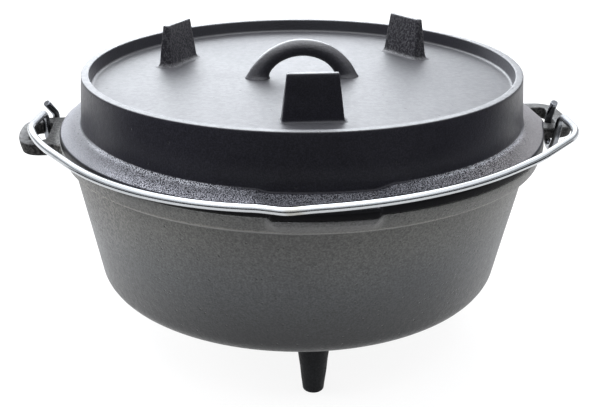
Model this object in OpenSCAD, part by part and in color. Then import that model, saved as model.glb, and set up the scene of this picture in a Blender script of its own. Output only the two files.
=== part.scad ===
// Camp dutch oven: a three-legged cast-iron pot with two ears, a lid with a
// tall coal rim, three lid feet and a loop, and a wire bail hooked in the ears.
// Millimetres. The three leg tips stand on z = 0, the ears lie along X and the
// pour spout, one leg and one lid foot point to -Y.

/* [Pot] */
// Height of the flat underside of the pot above the ground
base_height = 40; // [30:1:60]
// Height of the top of the pot rim above the ground
rim_height = 143.4; // [110:0.1:180]
// Outer radius of the pot rim at its top
rim_radius = 164.6; // [140:0.1:190]
// Width of the flat land on top of the pot rim
rim_land = 6.4; // [4:0.1:10]
// Height of the flared band under the pot rim
band_height = 13; // [6:0.5:24]
// Outer radius of the pot wall just under the flared band
wall_radius = 156.6; // [130:0.1:180]
// Outer radius the pot wall would reach at the underside, before rounding
foot_radius = 139.6; // [110:0.1:170]
// Thickness of the pot wall
wall_thickness = 4.6; // [3:0.1:8]
// Thickness of the pot floor
floor_thickness = 5.2; // [3:0.1:10]
// Outer rounding between the pot wall and its underside
corner_radius = 13; // [6:0.5:24]

/* [Spout] */
// Half of the angle that the pour spout covers at the front
spout_half_angle = 10.6; // [5:0.1:20]
// How far the pour spout stands out beyond the pot rim
spout_reach = 4.6; // [0:0.1:10]
// Direction of the pour spout, seen from above
spout_turn = -91; // [-100:0.5:-80]

/* [Ears] */
// Distance from the centre of the pot to the tip of the right ear
ear_reach = 192; // [189:0.5:200]
// How much shorter the left ear is than the right one
left_ear_short = 1; // [0:0.1:2]
// How far the outer edge of the left ear is bowed beyond that
left_ear_bow = 3.2; // [1:0.1:5]
// Distance from the middle of the pot to the front edge of the left ear
left_ear_front = 29.5; // [28:0.5:32]
// Distance from the middle of the pot to the back edge of the left ear
left_ear_back = 31; // [30.6:0.1:31.4]
// Distance from the middle of the pot to the front edge of the right ear
right_ear_front = 22.5; // [22.1:0.1:22.9]
// Distance from the middle of the pot to the back edge of the right ear
right_ear_back = 37.5; // [35:0.5:40]
// Thickness of an ear
ear_thickness = 8.4; // [7:0.1:9]
// Length of the hole in the left ear
ear_hole_length = 36.5; // [36.1:0.1:36.9]
// Distance from the centre of the pot to the inner edge of the left hole
left_hole_inner = 173.6; // [170:0.1:174]
// Distance from the centre of the pot to the outer edge of the left hole
left_hole_outer = 185; // [182:0.1:186]
// Distance from the middle of the pot to the front end of the right hole
right_hole_front = 11; // [10.6:0.1:11.4]
// Distance from the middle of the pot to the back end of the right hole
right_hole_back = 25.5; // [24:0.5:28]
// Distance from the centre of the pot to the inner edge of the right hole
right_hole_inner = 169.6; // [168:0.1:170.4]
// Distance from the centre of the pot to the outer edge of the right hole at its back end
right_hole_outer = 183; // [182.6:0.1:186]
// How much narrower the right hole is at its front end
right_hole_narrow = 3.2; // [0:0.1:3.4]
// Rounding of the corners of the hole in an ear
ear_hole_round = 3.5; // [1:0.1:4]

/* [Legs] */
// Distance from the centre of the pot to each leg
leg_reach = 112; // [80:0.5:130]
// How far the three legs sit to the left of the pot's axis
leg_shift = 2.6; // [0:0.1:5]
// Diameter of a leg at its tip
leg_tip = 13.4; // [8:0.1:24]
// Diameter of a leg at its root
leg_root = 22.6; // [12:0.1:32]

/* [Lid] */
// Height of the top of the tall lid rim above the ground
lid_height = 187; // [160:0.1:230]
// Outer radius of the tall lid rim at its top
lid_radius = 148; // [120:0.1:170]
// Outer radius of the tall lid rim where it meets the brim
lid_base_radius = 150.6; // [120:0.1:175]
// Width of the land on top of the tall lid rim
lid_land = 5; // [3:0.1:10]
// Depth of the tray inside the tall lid rim
tray_depth = 9.5; // [4:0.1:30]
// Thickness of the lid plate
plate_thickness = 4.8; // [3:0.1:8]
// Outer radius of the brim
brim_radius = 165; // [140:0.1:190]
// Thickness of the edge of the brim
brim_edge = 5.6; // [3:0.1:10]
// How far the brim climbs from its edge to the tall rim
brim_climb = 5.5; // [2:0.1:8]
// Gap between the pot rim and the lid that rests on it
lid_gap = 0.3; // [0.3:0.05:1]
// Depth of the ring under the brim that centres the lid in the pot
ring_depth = 6; // [3:0.1:12]

/* [Lid fittings] */
// Distance from the centre of the lid to each lid foot
foot_reach = 97; // [70:0.5:120]
// How far the front lid foot sits to the left of the lid's axis
foot_shift = 3; // [0:0.1:6]
// How far the two rear lid feet sit to the left of their places
rear_foot_shift = 1.5; // [0:0.1:4]
// How much further back the right rear lid foot sits than the left one
right_foot_back = 8.2; // [0:0.1:10]
// Height of a lid foot above the lid plate
foot_height = 29; // [15:0.5:45]
// Width of a lid foot at its base
foot_base_width = 37.6; // [20:0.1:50]
// Width of a lid foot at its top
foot_top_width = 30.6; // [16:0.1:50]
// Thickness of a lid foot at its base
foot_base_depth = 10; // [6:0.1:16]
// Thickness of a lid foot at its top
foot_top_depth = 4.4; // [3:0.1:12]
// Span of the lid loop over its outside, at the plate
handle_span = 77; // [60:0.5:110]
// Height of the lid loop above the lid plate
handle_height = 26.3; // [20:0.1:45]
// Diameter of the bar of the lid loop
handle_bar = 11.4; // [8:0.1:16]

/* [Bail] */
// Diameter of the bail wire
wire = 5; // [4:0.1:8]
// Inside-out radius of the hook, measured to the middle of the wire
hook_radius = 11; // [9:0.1:14]
// Distance from the centre of the pot to the plane of each hook
hook_reach = 175.5; // [168:0.1:186]
// Radius of the left front part of the bow of the bail
bow_radius = 166; // [150:0.5:175]
// How far the bow lies above the hinge line at the middle
bow_rise = 14.2; // [8:0.1:24]
// How far the V-kink stands out in front of the hinge line
kink_reach = 182; // [180:0.5:200]

/* [Hidden] */
$fn = 96;
e = 0.01;
band_bottom = rim_height - band_height;
// lower edge of the band, and how far the band tapers in towards it
band_edge = band_bottom + 3.6;
band_draft = 1.6;
plate_top = lid_height - tray_depth;
plate_bottom = plate_top - plate_thickness;
brim_bottom = rim_height + lid_gap;
brim_top = brim_bottom + brim_edge;
brim_root = brim_top + brim_climb;
rim_inner = rim_radius - rim_land;
// wall slope: how much the outer radius shrinks per millimetre going down
wall_slope = (wall_radius - foot_radius) / (band_bottom - base_height);
floor_split = base_height + corner_radius + 3;
function wall_out(z) = foot_radius + wall_slope * (z - base_height);
corner_tilt = atan(wall_slope);
corner_centre_r = wall_out(base_height + corner_radius) - corner_radius / cos(corner_tilt);
inner_radius = max(corner_radius - wall_thickness, 4);
floor_top = base_height + floor_thickness;
function wall_in(z) = wall_out(z) - wall_thickness / cos(corner_tilt);
inner_centre_r = wall_in(floor_top + inner_radius) - inner_radius / cos(corner_tilt);
ear_top = rim_height;
ear_mid = rim_height - ear_thickness / 2;
ear_corner = 14;
// hinge line of the bail: round the rear bar of the left ear and the front bar of the right ear;
// the bail hangs a little to the left in the ears
left_bar = (ear_hole_length / 2 + left_ear_back) / 2;
right_bar = (right_hole_front + right_ear_front) / 2;
hinge_turn = -asin((left_bar + right_bar) / 2 / hook_reach);
hinge_spot = [-1.7, (left_bar - right_bar) / 2];
arc_n = 8;

// ---- pot ----

// Floor disc with the rounded corner and the first few millimetres of wall.
module pot_floor() {
    color([0.16, 0.16, 0.17])
    rotate_extrude()
        polygon(concat(
            [[0, floor_top]], [[0, base_height]],
            [for (i = [0 : arc_n]) let (a = -90 + i * (90 - corner_tilt) / arc_n)
                [corner_centre_r + corner_radius * cos(a), base_height + corner_radius + corner_radius * sin(a)]],
            [[wall_out(floor_split), floor_split]], [[wall_in(floor_split), floor_split]],
            [for (i = [0 : arc_n]) let (a = -corner_tilt - i * (90 - corner_tilt) / arc_n)
                [inner_centre_r + inner_radius * cos(a), floor_top + inner_radius + inner_radius * sin(a)]]));
}

// Tapered side wall, from the rounded corner to the flared band.
module pot_wall() {
    color([0.17, 0.17, 0.18])
    rotate_extrude()
        polygon([[wall_in(floor_split), floor_split], [wall_out(floor_split), floor_split],
            [wall_radius, band_bottom], [wall_in(band_bottom), band_bottom]]);
}

// Section of the flared band; grow moves its upper part outwards for the spout.
module band_section(grow) {
    polygon([[wall_in(band_bottom), band_bottom], [wall_radius, band_bottom],
        [rim_radius + grow - band_draft, band_edge], [rim_radius + grow, rim_height - 3], [rim_radius + grow, rim_height],
        [rim_inner + grow, rim_height], [rim_inner + grow - 0.6, rim_height - 2]]);
}

// Flared band on top of the wall, pulled out at the front into the pour spout.
module pot_rim() {
    color([0.15, 0.15, 0.16]) {
        difference() {
            rotate_extrude() band_section(0);
            spout_sector(spout_half_angle - 1.5, rim_height - 2, rim_height + 1, rim_inner - 2, rim_inner + spout_reach - 1.2);
        }
        rotate([0, 0, spout_turn - spout_half_angle])
            rotate_extrude(angle = 2 * spout_half_angle)
                polygon([[wall_radius - 0.5, band_bottom + 1], [rim_radius + spout_reach - band_draft, band_edge],
                    [rim_radius + spout_reach, rim_height - 3],
                    [rim_radius + spout_reach, rim_height], [rim_radius - 1.5, rim_height], [rim_radius - 1.5, band_bottom + 6]]);
    }
}

// Sector of a ring at the front of the oven.
module spout_sector(half, z0, z1, r0, r1) {
    rotate([0, 0, spout_turn - half]) rotate_extrude(angle = 2 * half)
        translate([r0, z0]) square([r1 - r0, z1 - z0]);
}

// Half of an ear's outline seen from above, on the front (-1) or the back (1):
// a flat of half width w with a rounded outer corner c and a fillet at the rim.
module ear_half(side, w, c, reach) {
    f = 10;
    fy = w + f;
    fx = sqrt(pow(rim_radius + f, 2) - fy * fy);
    ft = fy * rim_radius / (rim_radius + f);
    translate([wall_radius - 6, side > 0 ? -1 : -w]) square([reach - c - wall_radius + 6, w + 1]);
    translate([reach - c - 1, side > 0 ? -1 : c - w]) square([c + 1, w - c + 1]);
    translate([reach - c, side * (w - c)]) circle(r = c);
    difference() {
        translate([wall_radius - 6, side > 0 ? w - 1 : -ft]) square([fx - wall_radius + 6, ft - w + 1]);
        translate([fx, side * fy]) circle(r = f);
    }
}

// Long hole with rounded corners, from x0 outwards to xf at its front end y0
// and to xb at its back end y1.
module ear_hole(x0, xf, xb, y0, y1) {
    r = ear_hole_round;
    slant = atan2(xb - xf, y1 - y0 - 2 * r);
    out = [r * cos(slant), -r * sin(slant)];
    for (p = [[x0 + r, y0 + r], [x0 + r, y1 - r], [xf - r, y0 + r], [xb - r, y1 - r]]) translate(p) circle(r = r);
    polygon([[x0, y0 + r], [x0 + r, y0], [xf - r, y0], [xf - r, y0 + r] + out,
        [xb - r, y1 - r] + out, [xb - r, y1], [x0 + r, y1], [x0, y1 - r]]);
}

// Solid inside the outer surface of the flared band; the ears stop at it.
module rim_core() {
    rotate_extrude()
        polygon([[0, band_bottom - 1], [wall_radius - 0.615, band_bottom - 1], [wall_radius, band_bottom],
            [rim_radius - band_draft, band_edge], [rim_radius, rim_height - 3], [rim_radius, rim_height + 1], [0, rim_height + 1]]);
}

// Flat ear with one long hole for the bail hook. Cast by hand: the right one
// sits a little further back than the left one.
// bow is how far its outer edge swells beyond reach.
module ear(front, back, reach, x0, xf, xb, y0, y1, bow) {
    difference() {
        translate([0, 0, rim_height - ear_thickness]) linear_extrude(ear_thickness) difference() {
            union() {
                ear_half(-1, front, ear_corner, reach);
                ear_half(1, back, ear_corner, reach);
                if (bow > 0) intersection() {
                    r = (22 * 22 + bow * bow) / (2 * bow);
                    translate([reach + bow - r, 5]) circle(r = r, $fn = 192);
                    translate([reach - 1, -30]) square([20, 70]);
                }
            }
            ear_hole(x0, xf, xb, y0, y1);
        }
        rim_core();
    }
}
module pot_ear_left() {
    color([0.18, 0.18, 0.19]) mirror([1, 0, 0])
        ear(left_ear_front, left_ear_back, ear_reach - left_ear_short, left_hole_inner,
            left_hole_outer, left_hole_outer, -ear_hole_length / 2, ear_hole_length / 2, left_ear_bow);
}
module pot_ear_right() {
    color([0.18, 0.18, 0.19])
        ear(right_ear_front, right_ear_back, ear_reach, right_hole_inner,
            right_hole_outer - right_hole_narrow, right_hole_outer, -right_hole_front, right_hole_back, 0);
}

// Round tapered leg with a flat tip and a small flare where it joins the floor.
module leg(turn) {
    translate([-leg_shift, 0, 0]) rotate([0, 0, turn]) translate([leg_reach, 0, 0])
        rotate_extrude()
            polygon([[0, 0], [leg_tip / 2 - 1.2, 0], [leg_tip / 2 - 0.3, 0.4], [leg_tip / 2 + 0.1, 1.4],
                [leg_root / 2 - 0.6, base_height - 4.5], [leg_root / 2 + 0.5, base_height - 2],
                [leg_root / 2 + 2.6, base_height - 0.4], [leg_root / 2 + 3.2, base_height], [0, base_height]]);
}
module pot_leg_front() { color([0.12, 0.12, 0.13]) leg(-90); }
module pot_leg_rear_left() { color([0.12, 0.12, 0.13]) leg(150); }
module pot_leg_rear_right() { color([0.12, 0.12, 0.13]) leg(30); }

// ---- lid ----

// Recessed plate that carries the coals, the loop and the lid feet.
module lid_plate() {
    color([0.14, 0.14, 0.15])
    translate([0, 0, plate_bottom]) cylinder(r = lid_radius - lid_land - 1.2, h = plate_thickness);
}

// Tall coal rim: the upright wall between the plate and the brim.
module lid_wall() {
    color([0.11, 0.11, 0.13])
    rotate_extrude()
        polygon([[lid_radius - lid_land - 1.2, plate_bottom], [lid_radius - lid_land - 1.2, plate_top],
            [lid_radius - lid_land, lid_height - 0.8], [lid_radius - lid_land + 0.8, lid_height],
            [lid_radius - 0.8, lid_height], [lid_radius, lid_height - 0.8],
            [lid_base_radius, brim_root], [lid_base_radius - 6, brim_root]]);
}

// Sloping brim with the spout lip, and the ring under it that centres the lid.
module lid_brim() {
    color([0.15, 0.15, 0.16]) {
        rotate_extrude()
            polygon([[lid_base_radius - 6, brim_root], [lid_base_radius, brim_root],
                [brim_radius - 1, brim_top], [brim_radius, brim_top - 1],
                [brim_radius, brim_bottom], [rim_inner - 2.4, brim_bottom],
                [rim_inner - 3.4, brim_bottom - ring_depth], [rim_inner - 8.4, brim_bottom - ring_depth]]);
        rotate([0, 0, spout_turn - spout_half_angle])
            rotate_extrude(angle = 2 * spout_half_angle)
                polygon([[lid_base_radius + 4, brim_bottom], [brim_radius + spout_reach, brim_bottom],
                    [brim_radius + spout_reach, brim_top - 1.6], [brim_radius + spout_reach - 1, brim_top - 0.7],
                    [lid_base_radius + 4, brim_top + 0.65 * brim_climb]]);
    }
}

// Round-bar loop across the middle of the lid, ends running into the plate.
module lid_handle() {
    half = handle_span / 2;
    outer = (half * half + handle_height * handle_height) / (2 * handle_height);
    color([0.11, 0.11, 0.13])
    difference() {
        translate([0, 0, plate_top + handle_height - outer]) rotate([90, 0, 0])
            rotate_extrude() translate([outer - handle_bar / 2, 0]) circle(d = handle_bar);
        translate([-100, -100, plate_top - 120]) cube([200, 200, 120]);
    }
}

// Tapered upright blade; three of them let the lid stand upside down.
module lid_foot(turn, shift, back) {
    translate([-shift, back, 0]) rotate([0, 0, turn]) translate([foot_reach, 0, plate_top])
        intersection() {
            rotate([90, 0, 90]) translate([0, 0, -20]) linear_extrude(40)
                polygon([[-foot_base_width / 2, 0], [foot_base_width / 2, 0],
                    [foot_top_width / 2, foot_height], [-foot_top_width / 2, foot_height]]);
            rotate([90, 0, 0]) translate([0, 0, -30]) linear_extrude(60)
                polygon([[-foot_base_depth / 2, 0], [foot_base_depth / 2, 0],
                    [foot_top_depth / 2, foot_height], [-foot_top_depth / 2, foot_height]]);
        }
}
module lid_foot_front() { color([0.11, 0.11, 0.13]) lid_foot(-90, foot_shift, -0.8); }
module lid_foot_rear_left() { color([0.11, 0.11, 0.13]) lid_foot(150, rear_foot_shift, 0.4); }
module lid_foot_rear_right() { color([0.11, 0.11, 0.13]) lid_foot(30, rear_foot_shift, 0.4 + right_foot_back); }

// ---- bail ----

// Corners of the bent wire on one side (-1 left, 1 right), from the kink to the
// stub, in the hinge frame: X along the hinge line, Y across it, Z up from it.
// The wire is bent by hand, so the two sides differ a little.
function side(s) = s < 0
    ? [[-16.76, -177.53, bow_rise - 0.2], [-88.81, -170, bow_rise - 1.3],
        [-162.12, -81.02, bow_rise + 1.2], [-176.06, -47.2, bow_rise],
        [-hook_reach - 0.7, -hook_radius, bow_rise - 0.8], [-hook_reach - 0.2, -hook_radius, -hook_radius],
        [-hook_reach + 0.3, hook_radius, -hook_radius], [-hook_reach + 0.3, hook_radius, 5.5],
        [-hook_reach - 3.8, hook_radius - 6.5, 15.3]]
    : [[13.23, -178.21, bow_rise + 0.2], [82.83, -165.59, bow_rise + 1.3],
        [147.87, -98.34, bow_rise + 0.9], [183.6, -49.47, bow_rise + 1],
        [hook_reach + 4.8, -hook_radius, bow_rise + 0.8], [hook_reach + 1.4, -hook_radius, -hook_radius],
        [hook_reach + 1.7, hook_radius, -hook_radius], [hook_reach + 1.7, hook_radius, 5.5],
        [hook_reach + 2.9, hook_radius - 7.4, 19.9]];
function side_bend(s) = concat([40, bow_radius + 42 * max(s, 0)], s < 0 ? [147, 44] : [159, 45],
    [6.5, hook_radius - 0.2, hook_radius - 0.2, 6, 0]);
function rev(v) = [for (i = [len(v) - 1 : -1 : 0]) v[i]];
wire_points = concat(rev(side(-1)), [[-1.86, -kink_reach, bow_rise]], side(1));
wire_bends = concat(rev(side_bend(-1)), [14], side_bend(1));
wire_last = len(wire_points) - 1;
function unit(v) = v / norm(v);
function bend_angle(i) = let (a = unit(wire_points[i] - wire_points[i - 1]), b = unit(wire_points[i + 1] - wire_points[i]))
    acos(max(-1, min(1, a * b)));
function trim(i) = wire_bends[i] * tan(bend_angle(i) / 2);
// Points round the bend at corner i, from its start to its end.
function bend_points(i) =
    let (p = wire_points[i], a = unit(p - wire_points[i - 1]), b = unit(wire_points[i + 1] - p),
        turn = bend_angle(i), r = wire_bends[i], up = unit(cross(a, b)), out = cross(a, up),
        centre = p - a * trim(i) - out * r,
        n = max(1, ceil(turn / (r < 8 ? 22 : r < 20 ? 15 : 6))))
    [for (k = [0 : n]) centre + r * (out * cos(turn * k / n) + a * sin(turn * k / n))];
wire_all = concat([wire_points[0]], [for (i = [1 : wire_last - 1]) for (q = bend_points(i)) q], [wire_points[wire_last]]);
wire_path = [for (j = [0 : len(wire_all) - 1]) if (j == 0 || norm(wire_all[j] - wire_all[j - 1]) > 0.4) wire_all[j]];
path_last = len(wire_path) - 1;
// direction of the wire at point j
function along(j) = j == 0 ? unit(wire_path[1] - wire_path[0])
    : j == path_last ? unit(wire_path[j] - wire_path[j - 1])
    : unit(unit(wire_path[j + 1] - wire_path[j]) + unit(wire_path[j] - wire_path[j - 1]));
// vector n turned the way that direction a turns into direction b
function carry(n, a, b) = let (x = cross(a, b), s = norm(x)) s < 0.000001 ? n
    : let (k = x / s, c = a * b) n * c + cross(k, n) * s + k * (k * n) * (1 - c);
// side vector of each ring of the wire, carried along without twist
function sides_from(j, n) = j > path_last ? [] : concat([n], sides_from(j + 1, j == path_last ? n : carry(n, along(j), along(j + 1))));
ring_sides = 12;
ring_radius = wire / 2 / cos(90 / ring_sides);

// Bent bail wire with a hook at each end and a V-kink at the middle of the bow.
module bail_wire() {
    start = unit(cross(along(0), [0, 1, 0]));
    normals = sides_from(0, start);
    points = [for (j = [0 : path_last]) let (t = along(j), n = normals[j], m = cross(t, n))
        for (k = [0 : ring_sides - 1]) let (q = 360 * k / ring_sides)
            wire_path[j] + ring_radius * (n * cos(q) + m * sin(q))];
    r = ring_sides;
    skin = [for (j = [0 : path_last - 1]) for (k = [0 : r - 1]) let (a = j * r + k, b = j * r + (k + 1) % r)
        each [[a, a + r, b], [b, a + r, b + r]]];
    ends = [[for (k = [0 : r - 1]) k], [for (k = [r - 1 : -1 : 0]) path_last * r + k]];
    color([0.75, 0.76, 0.78])
    translate([hinge_spot[0], hinge_spot[1], ear_mid]) rotate([0, 0, hinge_turn])
        polyhedron(points = points, faces = concat(skin, ends), convexity = 8);
}

pot_floor();
pot_wall();
pot_rim();
pot_ear_left();
pot_ear_right();
pot_leg_front();
pot_leg_rear_left();
pot_leg_rear_right();
lid_plate();
lid_wall();
lid_brim();
lid_handle();
lid_foot_front();
lid_foot_rear_left();
lid_foot_rear_right();
bail_wire();
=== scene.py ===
"""Looks of the camp dutch oven: finely modelled castings, a bent wire bail, procedural
cast iron and zinc, a pale floor and soft studio light. Everything is in metres, in the
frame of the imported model; the shapes below are written in millimetres and scaled once."""

import math

import bmesh
import bpy
import numpy as np
from mathutils import Matrix, Vector, noise


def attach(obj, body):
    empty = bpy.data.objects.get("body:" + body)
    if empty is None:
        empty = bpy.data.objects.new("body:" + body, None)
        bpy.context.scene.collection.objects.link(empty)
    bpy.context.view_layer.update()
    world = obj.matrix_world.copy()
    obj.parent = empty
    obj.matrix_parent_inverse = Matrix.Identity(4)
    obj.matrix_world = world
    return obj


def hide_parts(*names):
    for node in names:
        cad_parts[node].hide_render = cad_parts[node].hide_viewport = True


MM = 0.001

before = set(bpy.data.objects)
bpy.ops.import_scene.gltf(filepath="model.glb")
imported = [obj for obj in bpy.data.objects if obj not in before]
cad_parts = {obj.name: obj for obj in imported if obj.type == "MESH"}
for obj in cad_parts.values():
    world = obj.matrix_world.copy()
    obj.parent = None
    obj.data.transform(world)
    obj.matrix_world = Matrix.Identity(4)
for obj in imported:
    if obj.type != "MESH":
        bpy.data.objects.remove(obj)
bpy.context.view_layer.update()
scene = bpy.context.scene

# ------------------------------------------------------------------ sizes, millimetres
BASE_Z, RIM_Z, RIM_R = 40.0, 143.4, 164.6
WALL_R, BAND_Z, FOOT_R = 156.6, 130.4, 139.6
WALL_T, FLOOR_TOP = 4.6, 45.2
WALL_SLOPE = (WALL_R - FOOT_R) / (BAND_Z - BASE_Z)
WALL_IN = WALL_T / math.cos(math.atan(WALL_SLOPE))
SPOUT_HALF, SPOUT_REACH, SPOUT_TURN = 10.6, 4.6, -91.0
PLATE_TOP, PLATE_BOTTOM, LID_Z = 177.5, 172.7, 187.0
LID_R, LID_BASE_R, BRIM_R = 148.0, 150.6, 165.0
BRIM_BOTTOM, BRIM_TOP, BRIM_ROOT = 143.7, 149.3, 154.8
EAR_MID = 139.2
EDGE_Z, BAND_DRAFT = 134.0, 1.6
LEG_SHIFT = 2.6
WIRE = 5.0


# ------------------------------------------------------------------ small helpers
def smooth(lo, hi, x):
    t = np.clip((np.asarray(x, float) - lo) / (hi - lo), 0.0, 1.0)
    return t * t * (3 - 2 * t)


def ripple(points, size, seed):
    """Smooth noise at points (mm), features about size mm wide, from -1 to 1."""
    shift = Vector((seed * 17.3, seed * 5.1, seed * 9.7))
    return np.array([noise.noise(Vector(p) / size + shift) for p in points])


def profile(corners, step=4.0, arc_step=9.0):
    """Dense (r, z) line through corners (r, z, rounding)."""
    pts = [np.array(c[:2], float) for c in corners]
    line = [pts[0]]
    for i in range(1, len(pts) - 1):
        p, r = pts[i], corners[i][2]
        a, b = pts[i - 1] - p, pts[i + 1] - p
        la, lb = np.linalg.norm(a), np.linalg.norm(b)
        a, b = a / la, b / lb
        inner = math.acos(max(-1.0, min(1.0, float(a @ b))))
        if r <= 0 or inner > math.pi - 1e-4:
            line.append(p)
            continue
        trim = r / math.tan(inner / 2)
        trim = min(trim, 0.49 * la, 0.49 * lb)
        r = trim * math.tan(inner / 2)
        bis = (a + b) / np.linalg.norm(a + b)
        centre = p + bis * (r / math.sin(inner / 2))
        s, e = p + a * trim - centre, p + b * trim - centre
        turn = math.pi - inner
        n = max(3, int(math.ceil(math.degrees(turn) / arc_step)))
        sign = 1.0 if s[0] * e[1] - s[1] * e[0] > 0 else -1.0
        for k in range(n + 1):
            q = sign * turn * k / n
            c, d = math.cos(q), math.sin(q)
            line.append(centre + np.array([s[0] * c - s[1] * d, s[0] * d + s[1] * c]))
    line.append(pts[-1])
    out = [line[0]]
    for p in line[1:]:
        gap = np.linalg.norm(p - out[-1])
        if gap < 1e-3:
            continue
        n = max(1, int(math.ceil(gap / step)))
        start = out[-1]
        out += [start + (p - start) * k / n for k in range(1, n + 1)]
    return np.array(out)


def turn_angles(count=300, fine=0.3):
    """Angles round a casting, closer together at the pour spout."""
    lo, hi = -109.0, -73.0
    near = np.arange(lo, hi + 1e-6, fine)
    rest = np.linspace(hi, lo + 360.0, int(count * (360 - (hi - lo)) / 360) + 1)[1:-1]
    return np.radians(np.concatenate([near, rest]))


def add_mesh(name, verts, faces, material, uvs=None):
    mesh = bpy.data.meshes.new(name)
    mesh.from_pydata([tuple(v) for v in np.asarray(verts, float) * MM], [], faces)
    mesh.validate()
    if uvs is not None:
        layer = mesh.uv_layers.new(name="UVMap")
        for loop in mesh.loops:
            layer.data[loop.index].uv = uvs[loop.vertex_index]
    for p in mesh.polygons:
        p.use_smooth = True
    bm = bmesh.new()
    bm.from_mesh(mesh)
    bmesh.ops.recalc_face_normals(bm, faces=bm.faces)
    bm.to_mesh(mesh)
    bm.free()
    mesh.materials.append(material)
    obj = bpy.data.objects.new(name, mesh)
    scene.collection.objects.link(obj)
    return obj


def turned(line, angles):
    """Grid of points (len(line), len(angles), 3) for a profile turned about Z, and its faces.
    The first and last points of the line lie on the axis and become single vertices."""
    body = line[1:-1]
    r, z = body[:, 0][:, None], body[:, 1][:, None]
    grid = np.stack(
        [r * np.cos(angles), r * np.sin(angles), z + 0 * angles], -1
    )
    k, n = len(body), len(angles)
    faces = []
    for i in range(k - 1):
        for j in range(n):
            a, b = i * n + j, i * n + (j + 1) % n
            faces.append((a, b, b + n, a + n))
    first, last = k * n, k * n + 1
    for j in range(n):
        faces.append((first, (j + 1) % n, j))
        faces.append((last, (k - 1) * n + j, (k - 1) * n + (j + 1) % n))
    ends = np.array([[0, 0, line[0][1]], [0, 0, line[-1][1]]])
    return grid, ends, faces


def spout_window(phi_deg, half, edge):
    """1 inside the spout, 0 outside, with soft sides."""
    off = np.abs((phi_deg - SPOUT_TURN + 180) % 360 - 180)
    return 1 - smooth(half - edge, half + edge, off)


def lofted(rings, name, material, cap_low=True, cap_high=True):
    """Closed rings of points, one above another, with fanned ends."""
    rings = [np.asarray(r, float) for r in rings]
    n = len(rings[0])
    verts = np.concatenate(rings)
    faces = []
    for i in range(len(rings) - 1):
        for j in range(n):
            a, b = i * n + j, i * n + (j + 1) % n
            faces.append((a, b, b + n, a + n))
    extra = []
    if cap_low:
        extra.append(rings[0].mean(0))
        c = len(verts) + len(extra) - 1
        faces += [(c, (j + 1) % n, j) for j in range(n)]
    if cap_high:
        extra.append(rings[-1].mean(0))
        c = len(verts) + len(extra) - 1
        o = (len(rings) - 1) * n
        faces += [(c, o + j, o + (j + 1) % n) for j in range(n)]
    if extra:
        verts = np.concatenate([verts, np.array(extra)])
    return add_mesh(name, verts, faces, material)


# ------------------------------------------------------------------ materials
class Nodes:
    """Short way to write a material's node tree."""

    def __init__(self, name):
        self.mat = bpy.data.materials.new(name)
        self.mat.use_nodes = True
        self.tree = self.mat.node_tree
        self.tree.nodes.clear()
        self.out = self.tree.nodes.new("ShaderNodeOutputMaterial")
        self.bsdf = self.tree.nodes.new("ShaderNodeBsdfPrincipled")
        self.link(self.bsdf.outputs["BSDF"], self.out.inputs["Surface"])
        coord = self.tree.nodes.new("ShaderNodeTexCoord")
        self.place = coord.outputs["Object"]
        self.uv = coord.outputs["UV"]
        self.facing = coord.outputs["Normal"]

    def link(self, a, b):
        self.tree.links.new(a, b)

    def put(self, socket, value):
        if isinstance(value, (int, float)):
            socket.default_value = value
        elif isinstance(value, tuple):
            socket.default_value = value if len(value) != 3 or socket.type != "RGBA" else (*value, 1)
        else:
            self.link(value, socket)

    def noise(self, scale, detail=2.0, rough=0.5, vector=None, distortion=0.0):
        n = self.tree.nodes.new("ShaderNodeTexNoise")
        n.inputs["Scale"].default_value = scale
        n.inputs["Detail"].default_value = detail
        n.inputs["Roughness"].default_value = rough
        n.inputs["Distortion"].default_value = distortion
        self.link(vector or self.place, n.inputs["Vector"])
        return n.outputs["Fac"]

    def cells(self, scale, vector=None):
        n = self.tree.nodes.new("ShaderNodeTexVoronoi")
        n.inputs["Scale"].default_value = scale
        self.link(vector or self.place, n.inputs["Vector"])
        return n.outputs["Distance"], n.outputs["Color"]

    def ranged(self, value, lo, hi, to_lo=0.0, to_hi=1.0, curve="SMOOTHSTEP"):
        n = self.tree.nodes.new("ShaderNodeMapRange")
        n.interpolation_type = curve
        self.put(n.inputs["Value"], value)
        n.inputs["From Min"].default_value = lo
        n.inputs["From Max"].default_value = hi
        n.inputs["To Min"].default_value = to_lo
        n.inputs["To Max"].default_value = to_hi
        return n.outputs["Result"]

    def math(self, kind, a, b=0.0):
        n = self.tree.nodes.new("ShaderNodeMath")
        n.operation = kind
        self.put(n.inputs[0], a)
        self.put(n.inputs[1], b)
        return n.outputs[0]

    def mix(self, fac, a, b):
        n = self.tree.nodes.new("ShaderNodeMix")
        n.data_type = "RGBA"
        self.put(n.inputs["Factor"], fac)
        self.put(n.inputs[6], a)
        self.put(n.inputs[7], b)
        return n.outputs[2]

    def times(self, a, b):
        n = self.tree.nodes.new("ShaderNodeMix")
        n.data_type = "RGBA"
        n.blend_type = "MULTIPLY"
        n.inputs["Factor"].default_value = 1.0
        self.put(n.inputs[6], a)
        self.put(n.inputs[7], b)
        return n.outputs[2]

    def axes(self, vector=None):
        n = self.tree.nodes.new("ShaderNodeSeparateXYZ")
        self.link(vector or self.place, n.inputs[0])
        return n.outputs

    def channel(self, colour, which=0):
        n = self.tree.nodes.new("ShaderNodeSeparateColor")
        self.link(colour, n.inputs[0])
        return n.outputs[which]

    def stretched(self, vector, scale):
        n = self.tree.nodes.new("ShaderNodeMapping")
        n.inputs["Scale"].default_value = scale
        self.link(vector, n.inputs["Vector"])
        return n.outputs["Vector"]

    def bump(self, height, strength, distance, normal=None):
        n = self.tree.nodes.new("ShaderNodeBump")
        n.inputs["Strength"].default_value = strength
        n.inputs["Distance"].default_value = distance
        self.link(height, n.inputs["Height"])
        if normal is not None:
            self.link(normal, n.inputs["Normal"])
        return n.outputs["Normal"]


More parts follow.
